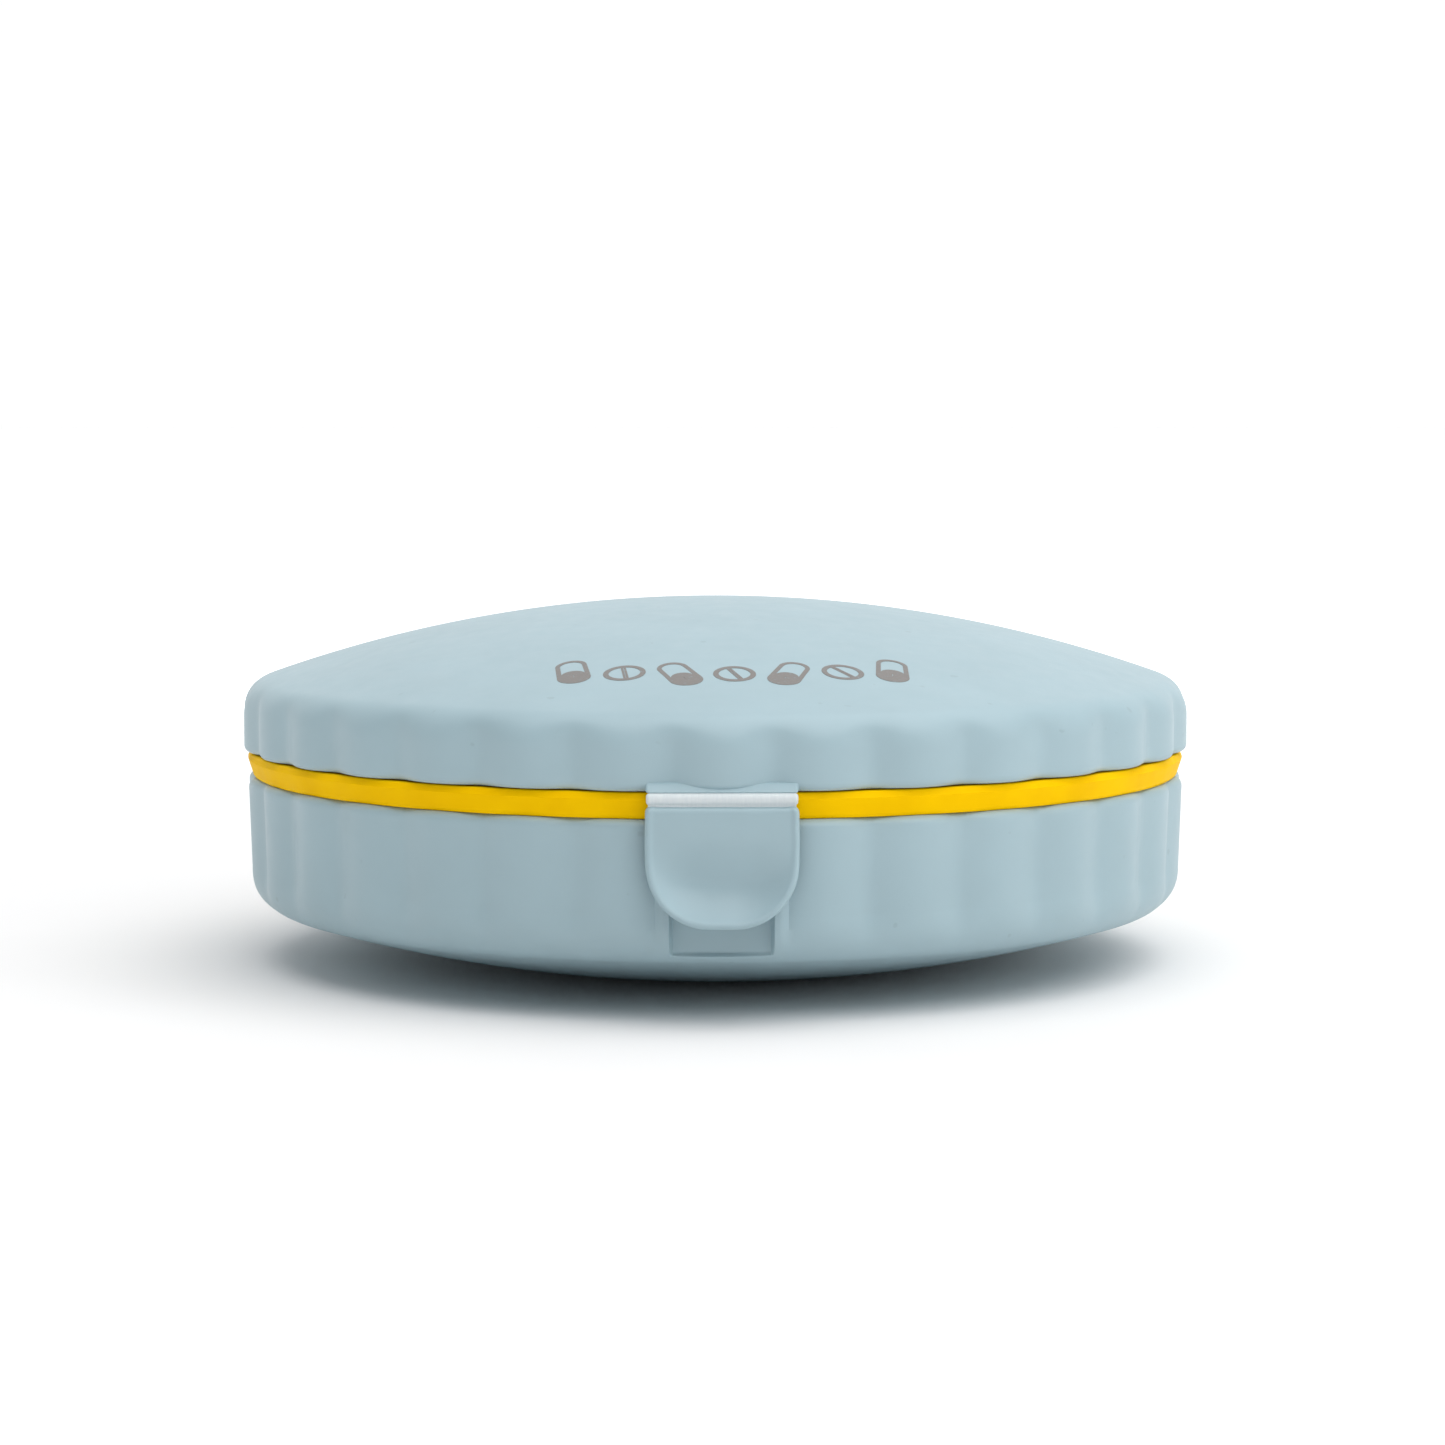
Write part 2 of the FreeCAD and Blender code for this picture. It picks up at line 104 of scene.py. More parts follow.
BASE_RADIUS = 46.6
BASE_DOME = 145.0
BASE_SHOULDER = 4.6
FOOT_RADIUS = 20.0
RIM_HEIGHT = SEAL_LOW[2]
RIM_ROUND = 0.9
COLLAR_OUTER = 44.6
COLLAR_INNER = 43.6
COLLAR_TOP = BASE_HIGH[2]
INNER_ROUND = 3.0             # inside the base's lower corner, and outside the tray's
WALL_DRAFT = 0.3
FOOT_STEPS, UNDER_STEPS, SHOULDER_STEPS, WALL_STEPS, RIM_STEPS = 4, 22, 34, 34, 7
BASE_OUTSIDE_ROWS = FOOT_STEPS + UNDER_STEPS + SHOULDER_STEPS + WALL_STEPS + RIM_STEPS

BASE_CENTRE = math.sqrt(BASE_DOME ** 2 - FOOT_RADIUS ** 2)
LID_CENTRE = LID_TOP - LID_DOME

RECESS_HALF = 4.65
RECESS_DEPTH = 44.5
RECESS_BOTTOM = 6.05
RECESS_TOP = 14.0
FRAME_WIDTH = 0.85

ANGLE_STEPS = LOBES * 18


# ---------------------------------------------------------------- curves

def run(start, end, count):
    """Points on a straight run, without its first one."""
    steps = np.linspace(0, 1, count + 1)[1:, None]
    return np.array(start, float) * (1 - steps) + np.array(end, float) * steps


def arc(centre, radius, first, last, count):
    """Points on an arc, its angles in degrees, with both ends."""
    angles = np.radians(np.linspace(first, last, count + 1))
    return np.c_[centre[0] + radius * np.cos(angles), centre[1] + radius * np.sin(angles)]


def smooth_step(value, low, high):
    """0 below low, 1 above high, and smooth between them."""
    part = np.clip((value - low) / (high - low), 0, 1)
    return part * part * (3 - 2 * part)


def shoulder(wall_radius, sphere, rounding):
    """Rounding between an upright wall and a sphere centred on the axis: how far its centre is
    above the sphere's, and the angle above level at which it touches the sphere, in degrees."""
    across = wall_radius - rounding
    rise = math.sqrt((sphere - rounding) ** 2 - across ** 2)
    return rise, math.degrees(math.atan2(rise, across))


def valley(angle):
    """0 on the middle of each lobe and 1 in the valleys between them. A lobe faces the front."""
    lobe = np.abs(np.cos(angle * LOBES / 2))
    soft = np.sqrt(lobe ** 2 + FLUTE_SOFTNESS ** 2) - FLUTE_SOFTNESS
    return 1 - soft / (math.sqrt(1 + FLUTE_SOFTNESS ** 2) - FLUTE_SOFTNESS)


# ---------------------------------------------------------------- meshes

def make(name, points, faces, body, material, node=None, sharp=40):
    """A mesh piece that rides on a body, with one material and outward normals. Where sharp, an
    angle in degrees, is None, its flat faces stay flat between their rounded edges."""
    mesh = bpy.data.meshes.new(name)
    mesh.from_pydata((np.asarray(points, float) * MM).tolist(), [], faces)
    work = bmesh.new()
    work.from_mesh(mesh)
    bmesh.ops.recalc_face_normals(work, faces=work.faces)
    work.to_mesh(mesh)
    work.free()
    mesh.shade_smooth()
    if sharp is None:
        flat_faces_stay_flat(mesh)
    else:
        mesh.set_sharp_from_angle(angle=math.radians(sharp))
    mesh.materials.append(material)
    piece = bpy.data.objects.new(name, mesh)
    bpy.context.scene.collection.objects.link(piece)
    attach(piece, body)
    if node:
        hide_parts(node)
    return piece


def flat_faces_stay_flat(mesh):
    """Vertex normals that lean towards the largest faces."""
    normals = np.zeros((len(mesh.vertices), 3))
    for face in mesh.polygons:
        normals[list(face.vertices)] += np.array(face.normal) * face.area ** 2
    normals /= np.maximum(np.linalg.norm(normals, axis=1), 1e-30)[:, None]
    mesh.normals_split_custom_set_from_vertices(normals.tolist())


def rings_to_faces(rings, around, closed):
    """Quads between successive rings of vertices, and back to the first ring if closed."""
    faces = []
    last = rings if closed else rings - 1
    for ring in range(last):
        here, there = ring * around, ((ring + 1) % rings) * around
        for i in range(around):
            j = (i + 1) % around
            faces.append((here + i, here + j, there + j, there + i))
    return faces


def lathe(profile, angles, shape=None, closed=False):
    """Vertices and faces round Z from (radius, height) points. Where the profile isn't closed its
    two ends are on the axis. shape moves the points: it takes and returns x, y, z arrays."""
    profile = np.asarray(profile, float)
    rows = profile if closed else profile[1:-1]
    radius, height = rows[:, :1], rows[:, 1:]
    x = radius * np.sin(angles)[None]
    y = -radius * np.cos(angles)[None]
    z = np.repeat(height, len(angles), axis=1)
    if shape:
        x, y, z = shape(x, y, z)
    points = np.stack([x, y, z], axis=2).reshape(-1, 3)
    around = len(angles)
    faces = rings_to_faces(len(rows), around, closed)
    if not closed:
        first, last = len(points), len(points) + 1
        final = (len(rows) - 1) * around
        points = np.r_[points, [[0, 0, profile[0, 1]], [0, 0, profile[-1, 1]]]]
        for i in range(around):
            j = (i + 1) % around
            faces.append((first, j, i))
            faces.append((last, final + i, final + j))
    return points, faces


def even(count):
    return np.linspace(0, TAU, count, endpoint=False)


def prism(outline, low, high, bevel, segments=3):
    """Vertices and faces of an outline in the YZ plane drawn out along X, its edges rounded."""
    work = bmesh.new()
    ends = []
    for x in (low, high):
        ends.append([work.verts.new((x, y, z)) for y, z in outline])
    work.faces.new(ends[0])
    work.faces.new(list(reversed(ends[1])))
    for i in range(len(outline)):
        j = (i + 1) % len(outline)
        work.faces.new((ends[0][i], ends[1][i], ends[1][j], ends[0][j]))
    bmesh.ops.recalc_face_normals(work, faces=work.faces)
    if bevel:
        edges = [edge for edge in work.edges if edge.calc_face_angle(0) > math.radians(25)]
        bmesh.ops.bevel(work, geom=edges, offset=bevel, segments=segments, profile=0.5,
                        affect="EDGES", clamp_overlap=True)
    work.verts.index_update()
    points = [tuple(vertex.co) for vertex in work.verts]
    faces = [tuple(vertex.index for vertex in face.verts) for face in work.faces]
    work.free()
    return points, faces


def joined(*meshes):
    """Several vertex and face lists as one."""
    points, faces = [], []
    for these_points, these_faces in meshes:
        start = len(points)
        points.extend(tuple(map(float, point)) for point in these_points)
        faces.extend(tuple(start + i for i in face) for face in these_faces)
    return points, faces


def bored(points, faces, radius):
    """A vertex and face list with a round hole along the hinge pin's axis."""
    span = 30.0
    ring = [(PIN[1] + radius * math.cos(a), PIN[2] + radius * math.sin(a)) for a in even(48)]
    pair = []
    for mesh_points, mesh_faces in ((points, faces), prism(ring, -span, span, 0)):
        mesh = bpy.data.meshes.new("blank")
        mesh.from_pydata([tuple(point) for point in mesh_points], [], mesh_faces)
        pair.append(bpy.data.objects.new("blank", mesh))
        bpy.context.scene.collection.objects.link(pair[-1])
    body, drill = pair
    cut = body.modifiers.new("bore", "BOOLEAN")
    cut.operation = "DIFFERENCE"
    cut.solver = "EXACT"
    cut.object = drill
    result = body.evaluated_get(bpy.context.evaluated_depsgraph_get()).to_mesh()
    cut_points = [tuple(vertex.co) for vertex in result.vertices]
    cut_faces = [tuple(face.vertices) for face in result.polygons]
    for blank in pair:
        bpy.data.meshes.remove(blank.data)
    return cut_points, cut_faces


# ---------------------------------------------------------------- materials

def node_tree(name):
    """A new material, its node tree, its principled shader and object coordinates in mm."""
    material = bpy.data.materials.new(name)
    material.use_nodes = True
    tree = material.node_tree
    shader = tree.nodes["Principled BSDF"]
    place = tree.nodes.new("ShaderNodeTexCoord")
    scale = tree.nodes.new("ShaderNodeMapping")
    scale.inputs["Scale"].default_value = (1 / MM, 1 / MM, 1 / MM)
    tree.links.new(place.outputs["Object"], scale.inputs["Vector"])
    return material, tree, shader, scale.outputs["Vector"]


def noise(tree, vector, size, detail=2.0, roughness=0.5, distortion=0.0):
    """Noise whose features are about size millimetres across."""
    node = tree.nodes.new("ShaderNodeTexNoise")
    node.inputs["Scale"].default_value = 1 / size
    node.inputs["Detail"].default_value = detail
    node.inputs["Roughness"].default_value = roughness
    node.inputs["Distortion"].default_value = distortion
    tree.links.new(vector, node.inputs["Vector"])
    return node.outputs["Fac"]


def remap(tree, value, low, high, to_low, to_high):
    node = tree.nodes.new("ShaderNodeMapRange")
    node.inputs["From Min"].default_value = low
    node.inputs["From Max"].default_value = high
    node.inputs["To Min"].default_value = to_low
    node.inputs["To Max"].default_value = to_high
    tree.links.new(value, node.inputs["Value"])
    return node.outputs["Result"]


def mix_colour(tree, factor, first, second):
    """Mix of two colours, each a colour or a socket, by a factor socket."""
    node = tree.nodes.new("ShaderNodeMix")
    node.data_type = "RGBA"
    tree.links.new(factor, node.inputs["Factor"])
    for socket, value in (("A", first), ("B", second)):
        target = [s for s in node.inputs if s.name == socket and s.type == "RGBA"][0]
        if isinstance(value, bpy.types.NodeSocket):
            tree.links.new(value, target)
        else:
            target.default_value = (*value, 1)
    return [s for s in node.outputs if s.type == "RGBA"][0]


def bump(tree, shader, height, strength, distance_mm, under=None):
    node = tree.nodes.new("ShaderNodeBump")
    node.inputs["Strength"].default_value = strength
    node.inputs["Distance"].default_value = distance_mm * MM
    tree.links.new(height, node.inputs["Height"])
    if under:
        tree.links.new(under, node.inputs["Normal"])
    tree.links.new(node.outputs["Normal"], shader.inputs["Normal"])
    return node.outputs["Normal"]


def linear(red, green, blue):
    """A screen colour, 0 to 255, as linear light."""
    def one(value):
        value = value / 255
        return value / 12.92 if value <= 0.04045 else ((value + 0.055) / 1.055) ** 2.4
    return one(red), one(green), one(blue)


def scaled(colour, factor):
    return tuple(min(channel * factor, 1) for channel in colour)


def plastic(name, colour, rough=0.43, grain=0.22, specks=True, glow=0.0):
    """Moulded polypropylene: faint cloudiness, a fine spark-eroded grain and a few tiny specks."""
    material, tree, shader, vector = node_tree(name)
    clouds = noise(tree, vector, 9.0, 3.0, 0.55)
    base = mix_colour(tree, remap(tree, clouds, 0.3, 0.7, 0, 1), scaled(colour, 0.97), scaled(colour, 1.02))
    if specks:
        spots = noise(tree, vector, 1.6, 1.0, 0.4)
        base = mix_colour(tree, remap(tree, spots, 0.765, 0.80, 0, 0.35), base, scaled(colour, 0.72))
        marks = noise(tree, vector, 3.1, 4.0, 0.6, 1.5)
        base = mix_colour(tree, remap(tree, marks, 0.72, 0.80, 0, 0.4), base, scaled(colour, 1.12))
    tree.links.new(base, shader.inputs["Base Color"])
    sheen_noise = noise(tree, vector, 2.2, 3.0, 0.6)
    tree.links.new(remap(tree, sheen_noise, 0.25, 0.75, rough - 0.05, rough + 0.06),
                   shader.inputs["Roughness"])
    fine = noise(tree, vector, 0.16, 2.0, 0.6)
    first = bump(tree, shader, fine, grain, 0.02)
    waves = noise(tree, vector, 14.0, 1.0, 0.4)
    bump(tree, shader, waves, 0.25, 0.12, first)
    shader.inputs["IOR"].default_value = 1.49
    shader.inputs["Specular IOR Level"].default_value = 0.6
    if glow:
        shader.inputs["Subsurface Weight"].default_value = glow
        shader.inputs["Subsurface Radius"].default_value = (1.0, 1.1, 1.2)
        shader.inputs["Subsurface Scale"].default_value = 0.8 * MM
    return material


def silicone(name, colour):
    """Satin silicone rubber: deep colour, soft sheen, faint flow lines round the ring."""
    material, tree, shader, vector = node_tree(name)
    clouds = noise(tree, vector, 5.0, 3.0, 0.5)
    base = mix_colour(tree, remap(tree, clouds, 0.3, 0.7, 0, 1), scaled(colour, 0.93), scaled(colour, 1.05))
    tree.links.new(base, shader.inputs["Base Color"])
    patches = noise(tree, vector, 1.7, 2.0, 0.5)
    tree.links.new(remap(tree, patches, 0.25, 0.75, 0.46, 0.58), shader.inputs["Roughness"])
    stretch = tree.nodes.new("ShaderNodeMapping")
    stretch.inputs["Scale"].default_value = (0.15, 0.15, 3.0)
    tree.links.new(vector, stretch.inputs["Vector"])
    lines = noise(tree, stretch.outputs["Vector"], 1.0, 2.0, 0.5)
    bump(tree, shader, lines, 0.35, 0.05)
    shader.inputs["IOR"].default_value = 1.41
    shader.inputs["Specular IOR Level"].default_value = 0.03
    return material


def whitening_and_painted_highlight(name, colour, streak_colour):
    """Polypropylene hinge, pale all over: bend whitening and a painted highlight on its rounded top, with
    short streaks across the fold.
    """
    material, tree, shader, vector = node_tree(name)
    stretch = tree.nodes.new("ShaderNodeMapping")
    stretch.inputs["Scale"].default_value = (5.0, 0.8, 0.8)
    tree.links.new(vector, stretch.inputs["Vector"])
    streaks = noise(tree, stretch.outputs["Vector"], 1.0, 4.0, 0.6)
    base = mix_colour(tree, remap(tree, streaks, 0.35, 0.7, 0, 0.5), colour, streak_colour)
    tree.links.new(base, shader.inputs["Base Color"])
    tree.links.new(remap(tree, streaks, 0.3, 0.7, 0.36, 0.5), shader.inputs["Roughness"])
    bump(tree, shader, streaks, 0.2, 0.03)
    shader.inputs["IOR"].default_value = 1.49
    return material


def steel_wire(name):
    """Drawn steel wire, with fine marks along it."""
    material, tree, shader, vector = node_tree(name)
    stretch = tree.nodes.new("ShaderNodeMapping")
    stretch.inputs["Scale"].default_value = (0.3, 12.0, 12.0)
    tree.links.new(vector, stretch.inputs["Vector"])
    marks = noise(tree, stretch.outputs["Vector"], 1.0, 4.0, 0.6)
    base = mix_colour(tree, marks, linear(150, 150, 152), linear(200, 200, 202))
    tree.links.new(base, shader.inputs["Base Color"])
    tree.links.new(remap(tree, marks, 0.3, 0.7, 0.22, 0.38), shader.inputs["Roughness"])
    bump(tree, shader, marks, 0.2, 0.01)
    shader.inputs["Metallic"].default_value = 1.0
    return material


def ink(name, colour, under):
    """Pad-printed ink, slightly thin in places so that the plastic shows through."""
    material, tree, shader, vector = node_tree(name)
    thin = noise(tree, vector, 0.5, 4.0, 0.65)
    base = mix_colour(tree, remap(tree, thin, 0.55, 0.8, 0, 0.45), colour, under)
    tree.links.new(base, shader.inputs["Base Color"])
    tree.links.new(remap(tree, thin, 0.3, 0.7, 0.42, 0.6), shader.inputs["Roughness"])
    bump(tree, shader, noise(tree, vector, 0.16, 2.0, 0.6), 0.2, 0.015)
    return material


SHELL_COLOUR = linear(160, 185, 193)
SHELL = plastic("pale_blue_plastic", SHELL_COLOUR)
TRAY = plastic("frosted_white_plastic", linear(214, 220, 222), rough=0.4, grain=0.15, specks=False, glow=0.15)
SEAL = silicone("yellow_silicone", linear(255, 199, 0))
# pale strip colours: bend whitening and a painted highlight on the hinge's rounded top
STRIP = whitening_and_painted_highlight("hinge_whitening_and_painted_highlight", linear(214, 221, 223), linear(200, 210, 214))
STEEL = steel_wire("drawn_steel")
INK = ink("grey_ink", linear(124, 120, 117), SHELL_COLOUR)


# ---------------------------------------------------------------- lid

def lid_dome_height(radius, inset=0.0):
    return LID_CENTRE + math.sqrt((LID_DOME - inset) ** 2 - radius ** 2)


def lid_profile():
    """Outside from the top of the dome down to the lower edge, then inside and back up."""
    rise, touch = shoulder(LID_RADIUS, LID_DOME, LID_SHOULDER)
    outer = arc((0, LID_CENTRE), LID_DOME, 90, touch, LID_DOME_STEPS)
    outer_round = arc((LID_RADIUS - LID_SHOULDER, LID_CENTRE + rise), LID_SHOULDER, touch, 0,
                      LID_SHOULDER_STEPS)
    edge = arc((LID_RADIUS - LID_ROUND, LID_EDGE + LID_ROUND), LID_ROUND, 0, -90, LID_EDGE_STEPS)
    inner_wall = LID_RADIUS - WALL
    inner_round = LID_SHOULDER - WALL
    inner_rise, inner_touch = shoulder(inner_wall, LID_DOME - WALL, inner_round)
    inside = arc((inner_wall - inner_round, LID_CENTRE + inner_rise), inner_round, 0, inner_touch, 8)
    ring_outer, ring_inner, ring_foot = 42.0, 41.0, LINER_LOW[2] + 1.9
    foot_round = 0.3
    inner_start = LID_EDGE + 0.15
    ring = np.r_[
        [[ring_outer, lid_dome_height(ring_outer, WALL)]],
        arc((ring_outer - foot_round, ring_foot + foot_round), foot_round, 0, -90, 4),
        arc((ring_inner + foot_round, ring_foot + foot_round), foot_round, -90, -180, 4),
        [[ring_inner, lid_dome_height(ring_inner, WALL)]],
    ]
    last_angle = math.degrees(math.acos(ring_inner / (LID_DOME - WALL)))
    return np.r_[
        outer, outer_round[1:],
        run(outer_round[-1], edge[0], LID_WALL_STEPS), edge[1:],
        run(edge[-1], (inner_wall, inner_start), 2),
        run((inner_wall, inner_start), inside[0], 5), inside[1:],
        ring,
        arc((0, LID_CENTRE), LID_DOME - WALL, last_angle, 90, 14)[1:],
    ]


def lid_shape(x, y, z):
    """Flutes on the outside of the lid's wall that fade out up its shoulder."""
    radius = np.hypot(x, y)
    angle = np.arctan2(x, -y)
    round_start = LID_CENTRE + shoulder(LID_RADIUS, LID_DOME, LID_SHOULDER)[0]
    fade = 1 - smooth_step(z, round_start + 0.2, round_start + 0.9 * LID_SHOULDER)
    outside = smooth_step(radius, LID_RADIUS - WALL + 0.05, LID_RADIUS - WALL + 0.6)
    outside = np.where(z > round_start + 0.5, smooth_step(radius, 30, 42), outside)
    rows = np.arange(len(x))[:, None] < LID_OUTSIDE_ROWS
    change = FLUTE_DEPTH * valley(angle) * fade * outside * rows
    scale = (radius - change) / radius
    return x * scale, y * scale, z


def lid():
    points, faces = lathe(lid_profile(), even(ANGLE_STEPS), lid_shape)
    make("lid", points, faces, "lid", SHELL, "lid_shell")


def lid_tab():
    """Sloping tab over the lid's front lobe that carries the latch."""
    bottom, rise = STRIP_HIGH[2] - 0.02, 0.9
    back, ledge, front = -45.4, -46.15, -47.3
    outline = [(back, bottom), (back, bottom + rise), (ledge, bottom + rise), (front, bottom)]
    points, faces = prism(outline, -LATCH_WIDTH / 2, LATCH_WIDTH / 2, 0.3, 5)
    make("lid_tab", points, faces, "lid", SHELL, "lid_shell", sharp=None)


def lid_knuckle():
    """Middle knuckle of the rear hinge, on the lid."""
    root, bottom, top = 46.0, LID_EDGE + 0.3, LID_EDGE + 4.0
    below_pin = PIN[2] - bottom
    reach = math.sqrt(KNUCKLE_RADIUS ** 2 - below_pin ** 2)
    start = math.degrees(math.atan2(-below_pin, -reach))
    curve = arc((PIN[1], PIN[2]), KNUCKLE_RADIUS, start, 360 + 50, 22)
    outline = [(root, bottom), *map(tuple, curve), (root, top)]
    blank = prism(outline, -LID_KNUCKLE_HALF, LID_KNUCKLE_HALF, 0.25, 3)
    points, faces = bored(*blank, PIN_BORE)
    make("lid_knuckle", points, faces, "lid", SHELL, "lid_shell", sharp=None)


# ---------------------------------------------------------------- base

def bowl_height(radius, inset=0.0):
    return BASE_CENTRE - np.sqrt((BASE_DOME - inset) ** 2 - radius ** 2)


def base_profile():
    """Underside from the axis out to the wall, up over the rim and collar, and down inside."""
    rise, touch = shoulder(BASE_RADIUS, BASE_DOME, BASE_SHOULDER)
    foot_angle = math.degrees(math.asin(FOOT_RADIUS / BASE_DOME))
    under = arc((0, BASE_CENTRE), BASE_DOME, -90 + foot_angle, -touch, UNDER_STEPS)
    side_round = arc((BASE_RADIUS - BASE_SHOULDER, BASE_CENTRE - rise), BASE_SHOULDER, -touch, 0,
                     SHOULDER_STEPS)
    rim = arc((BASE_RADIUS - RIM_ROUND, RIM_HEIGHT - RIM_ROUND), RIM_ROUND, 0, 90, RIM_STEPS)
    collar_round = 0.3
    collar = np.r_[
        [[COLLAR_OUTER, RIM_HEIGHT]],
        arc((COLLAR_OUTER - collar_round, COLLAR_TOP - collar_round), collar_round, 0, 90, 4),
        arc((COLLAR_INNER + collar_round, COLLAR_TOP - collar_round), collar_round, 90, 180, 4),
    ]
    inner_rise, inner_touch = shoulder(COLLAR_INNER, BASE_DOME - WALL, INNER_ROUND)
    inside = arc((COLLAR_INNER - INNER_ROUND, BASE_CENTRE - inner_rise), INNER_ROUND, 0,
                 -inner_touch, 8)
    floor_angle = math.degrees(math.asin(FOOT_RADIUS / (BASE_DOME - WALL)))
    floor = arc((0, BASE_CENTRE), BASE_DOME - WALL, -inner_touch, -90 + floor_angle, 8)
    return np.r_[
        [[0, 0]], run((0, 0), under[0], FOOT_STEPS)[:-1], under, side_round[1:],
        run(side_round[-1], rim[0], WALL_STEPS), rim[1:],
        collar,
        run(collar[-1], inside[0], 4), inside[1:], floor[1:],
        [[0, WALL]],
    ]


def base_shape(x, y, z):
    """Flutes round the outside, and the latch recess in its plain frame at the front."""
    radius = np.hypot(x, y)
    angle = np.arctan2(x, -y)
    round_start = BASE_CENTRE - shoulder(BASE_RADIUS, BASE_DOME, BASE_SHOULDER)[0]
    fade = smooth_step(z, round_start - 0.95 * BASE_SHOULDER, round_start + 0.3)
    outside = np.arange(len(x))[:, None] < BASE_OUTSIDE_ROWS
    front = (y < 0) & (z < RECESS_TOP + 2)
    frame_half = RECESS_HALF + FRAME_WIDTH
    frame_side = 1 - smooth_step(np.abs(x), frame_half - 0.1, frame_half + 0.5)
    plain = np.where(front, frame_side * (1 - smooth_step(z, RECESS_TOP, RECESS_TOP + 1.5)), 0)
    draft = WALL_DRAFT * np.clip((RIM_HEIGHT - z) / (RIM_HEIGHT - round_start), 0, 1)
    change = (FLUTE_DEPTH * valley(angle) * (1 - plain) + draft) * fade * outside
    scale = np.where(radius > 0, (radius - change) / np.maximum(radius, 1e-6), 1)
    x, y = x * scale, y * scale
    into = (1 - smooth_step(np.abs(x), RECESS_HALF - 0.28, RECESS_HALF + 0.06))
    into = into * smooth_step(z, RECESS_BOTTOM - 0.1, RECESS_BOTTOM + 0.35)
    into = into * (1 - smooth_step(z, RECESS_TOP - 0.3, RECESS_TOP))
    into = np.where((y < 0) & outside, into, 0)
    y = y + into * np.maximum(-RECESS_DEPTH - y, 0)
    return x, y, z


def base_angles():
    """Even steps round the wall, with fine ones at the two sides of the recess."""
    edge = math.asin(RECESS_HALF / BASE_RADIUS)
    span = math.radians(0.75)
    fine = np.linspace(edge - span, edge + span, 16)
    plain = even(ANGLE_STEPS)
    keep = [a for a in plain if min(abs(a - edge), abs(TAU - a - edge)) > span + 0.004]
    return np.sort(np.r_[keep, fine, TAU - fine])


def base():
    points, faces = lathe(base_profile(), base_angles(), base_shape)
    make("base", points, faces, "base", SHELL, "base_shell")


def catch_rib():
    """Rib across the recess, behind the flap, that the flap's hook sits under."""
    root, crest, crest_round = -44.2, -46.3, 0.2
    bottom, top, lead_in = 12.1, 12.9, 0.15
    outline = [(root, bottom), (root, top), (crest + crest_round, top), (crest, top - crest_round),
               (crest, bottom + lead_in)]
    points, faces = prism(outline, -RECESS_HALF, RECESS_HALF, 0.08, 2)
    make("catch_rib", points, faces, "base", SHELL, "base_shell", sharp=None)


def base_brackets():
    """Two brackets at the rear that carry the hinge pin."""
    root, root_foot, wall, wall_foot = 44.4, 11.8, 46.0, 10.3
    reach = math.sqrt(KNUCKLE_RADIUS ** 2 - (PIN[2] - RIM_HEIGHT) ** 2)
    start_angle = math.degrees(math.atan2(RIM_HEIGHT - PIN[2], -reach))
    curve = arc((PIN[1], PIN[2]), KNUCKLE_RADIUS, -30, 360 + start_angle, 24)
    outline = [(root, RIM_HEIGHT - 0.02), (root, root_foot), (wall, wall_foot), *map(tuple, curve)]
    blanks = [prism(outline, start, start + BRACKET_WIDTH, 0.3, 3) for start in BRACKET_STARTS]
    pair = [bored(*blank, PIN_BORE) for blank in blanks]
    points, faces = joined(*pair)
    make("base_brackets", points, faces, "base", SHELL, "base_shell", sharp=None)


# ---------------------------------------------------------------- seal ring

def seal_ring():
    """Silicone ring that swells to a soft crest a little below its top."""
    inner, foot, crest, lip = 44.65, 45.95, 46.52, 46.3
    low, high = SEAL_LOW[2], SEAL_HIGH[2]
    crest_height = high - 0.62
    edge = 0.2
    side = np.linspace(low + edge, crest_height - 0.1, 9)
    profile = np.r_[
        arc((foot - edge, low + edge), edge, -90, 0, 4)[:-1],
        np.c_[np.interp(side, [low, crest_height], [foot, crest]), side],
        [[crest - 0.005, crest_height], [crest - 0.05, crest_height + 0.08]],
        run((crest - 0.05, crest_height + 0.08), (lip, high - edge), 3),
        arc((lip - edge, high - edge), edge, 0, 90, 4)[1:],
        arc((inner + edge, high - edge), edge, 90, 180, 3),
        arc((inner + edge, low + edge), edge, 180, 270, 3),
    ]

    def follow_flutes(x, y, z):
        radius = np.hypot(x, y)
        angle = np.arctan2(x, -y)
        change = 0.06 * valley(angle) * smooth_step(radius, inner + 0.5, foot - 0.2)
        return x * (radius - change) / radius, y * (radius - change) / radius, z

    points, faces = lathe(profile, even(LOBES * 14), follow_flutes, closed=True)
    make("seal_band", points, faces, "base", SEAL, "seal_ring")


# ---------------------------------------------------------------- latch

def hinge_strip():
    """Rounded strip that the flap folds about, pale with bend whitening and a painted highlight."""
    curve = arc((-FOLD_DEPTH, FOLD[2]), FOLD_RADIUS, 90, 270, 16)
    back = STRIP_HIGH[1]
    outline = [*map(tuple, curve), (back, STRIP_LOW[2]), (back, STRIP_HIGH[2])]
    points, faces = prism(outline, STRIP_LOW[0] - 0.02, STRIP_HIGH[0] + 0.02, 0.28, 4)
    make("hinge_strip", points, faces, "lid", STRIP, "latch_hinge_strip", sharp=None)


